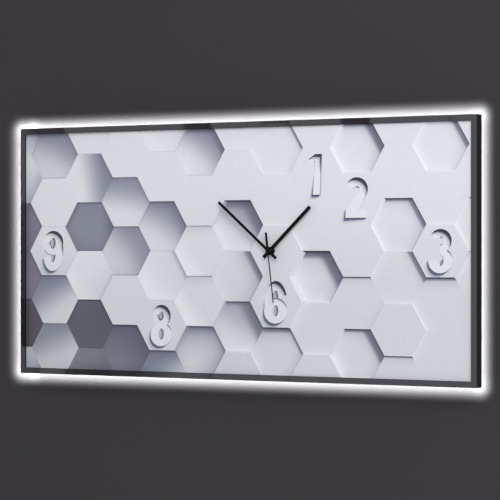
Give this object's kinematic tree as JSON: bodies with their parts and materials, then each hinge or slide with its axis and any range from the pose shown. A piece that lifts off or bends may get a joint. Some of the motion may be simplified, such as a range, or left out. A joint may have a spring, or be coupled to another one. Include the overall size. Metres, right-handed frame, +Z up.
{
  "type": "backlit wall clock",
  "caption": "Wide rectangular wall clock with a hexagon-tile relief dial, slim dark frame, plain black hands and a lamp strip behind it that lights the wall.",
  "frame": {"origin": "on the wall plane, midway between the two keyhole entries that hang the clock", "axes": "+X to the right of the face, +Y back into the wall so the face looks towards -Y, +Z up"},
  "size_m": [0.6, 0.038, 0.3],
  "materials": {
    "frame_paint": "satin near-black powder coat",
    "dial_relief": "matte bluish white print on a moulded relief",
    "hand_black": "matte black paint",
    "carrier_wood": "planed pine, unfinished",
    "plated_steel": "zinc plated",
    "rubber_black": "matte",
    "strip_white": "white flexible circuit",
    "lamp": "lit white lamp",
    "clip_white": "moulded, semi-matte",
    "socket_black": "moulded, satin",
    "brass": "turned",
    "lead_red": "soft insulation",
    "lead_black": "soft insulation",
    "case_black": "moulded, fine texture",
    "nut_black": "black plated",
    "battery_jacket": "plain printed sleeve, unmarked",
    "board_green": "solder mask",
    "copper_wire": "enamelled copper winding",
    "motor_steel": "rolled sheet",
    "gear_ivory": "moulded acetal",
    "knob_grey": "moulded"
  },
  "bodies": {
    "clock_body": {"frame_top_rail": "frame_paint", "frame_bottom_rail": "frame_paint", "frame_left_rail": "frame_paint", "frame_right_rail": "frame_paint", "corner_angles": "plated_steel", "corner_screws": "plated_steel", "dial_panel": "dial_relief", "subframe_top_bar": "carrier_wood", "subframe_bottom_bar": "carrier_wood", "subframe_left_bar": "carrier_wood", "subframe_right_bar": "carrier_wood", "subframe_braces": "plated_steel", "brace_screws": "plated_steel", "hanger_plates": "plated_steel", "hanger_screws": "plated_steel", "wall_bumpers": "rubber_black", "led_strip_top": "strip_white", "led_strip_left": "strip_white", "led_strip_right": "strip_white", "led_strip_bottom_left": "strip_white", "led_strip_bottom_right": "strip_white", "led_corner_clips": "clip_white", "led_chips": "lamp", "dc_socket": "socket_black", "dc_centre_pin": "brass", "dc_socket_nut": "plated_steel", "supply_lead_red": "lead_red", "supply_lead_black": "lead_black", "movement_case": "case_black", "movement_cover": "case_black", "threaded_bushing": "brass", "rubber_gasket": "rubber_black", "dial_washer": "nut_black", "fixing_nut": "nut_black", "battery": "battery_jacket", "battery_contact_positive": "plated_steel", "battery_contact_negative": "plated_steel", "circuit_board": "board_green", "quartz_crystal": "plated_steel", "motor_coil": "copper_wire", "coil_core": "motor_steel", "stator": "motor_steel"},
    "minute": {"minute_arbor": "brass", "minute_hand": "hand_black"},
    "hour": {"hour_wheel": "gear_ivory", "hour_hand": "hand_black"},
    "minute_gear": {"minute_wheel": "gear_ivory"},
    "knob": {"set_knob": "knob_grey"},
    "seconds": {"second_wheel": "gear_ivory", "second_hand": "hand_black"},
    "rotor": {"rotor": "gear_ivory"},
    "fifth": {"fifth_wheel": "gear_ivory"},
    "third": {"third_wheel": "gear_ivory"},
    "centre": {"centre_wheel": "gear_ivory"}
  },
  "joints": [
    {"name": "minute_turn", "type": "hinge", "parent": "clock_body", "child": "minute", "pos_m": [0.046, -0.015, -0.126], "axis": [0, 1, 0], "continuous": true},
    {"name": "hour_turn", "type": "hinge", "parent": "clock_body", "child": "hour", "pos_m": [0.046, -0.015, -0.126], "axis": [0, 1, 0], "continuous": true},
    {"name": "minute_gear_turn", "type": "hinge", "parent": "clock_body", "child": "minute_gear", "pos_m": [0.0556, -0.015, -0.126], "axis": [0, 1, 0], "continuous": true},
    {"name": "knob_turn", "type": "hinge", "parent": "clock_body", "child": "knob", "pos_m": [0.066, -0.015, -0.126], "axis": [0, 1, 0], "continuous": true},
    {"name": "second_turn", "type": "hinge", "parent": "clock_body", "child": "seconds", "pos_m": [0.046, -0.015, -0.126], "axis": [0, 1, 0], "continuous": true},
    {"name": "rotor_turn", "type": "hinge", "parent": "clock_body", "child": "rotor", "pos_m": [0.02884, -0.015, -0.11873], "axis": [0, 1, 0], "continuous": true},
    {"name": "fifth_turn", "type": "hinge", "parent": "clock_body", "child": "fifth", "pos_m": [0.03304, -0.015, -0.126], "axis": [0, 1, 0], "continuous": true},
    {"name": "third_turn", "type": "hinge", "parent": "clock_body", "child": "third", "pos_m": [0.05212, -0.015, -0.1154], "axis": [0, 1, 0], "continuous": true},
    {"name": "centre_turn", "type": "hinge", "parent": "clock_body", "child": "centre", "pos_m": [0.046, -0.015, -0.126], "axis": [0, 1, 0], "continuous": true}
  ],
  "couplings": [
    {"joint": "hour_turn", "follows": "minute_turn", "ratio": 0.083333},
    {"joint": "minute_gear_turn", "follows": "minute_turn", "ratio": -0.33333},
    {"joint": "knob_turn", "follows": "minute_turn", "ratio": 0.75},
    {"joint": "fifth_turn", "follows": "second_turn", "ratio": -5},
    {"joint": "rotor_turn", "follows": "second_turn", "ratio": 30},
    {"joint": "third_turn", "follows": "second_turn", "ratio": -0.13333},
    {"joint": "centre_turn", "follows": "second_turn", "ratio": 0.016667}
  ]
}
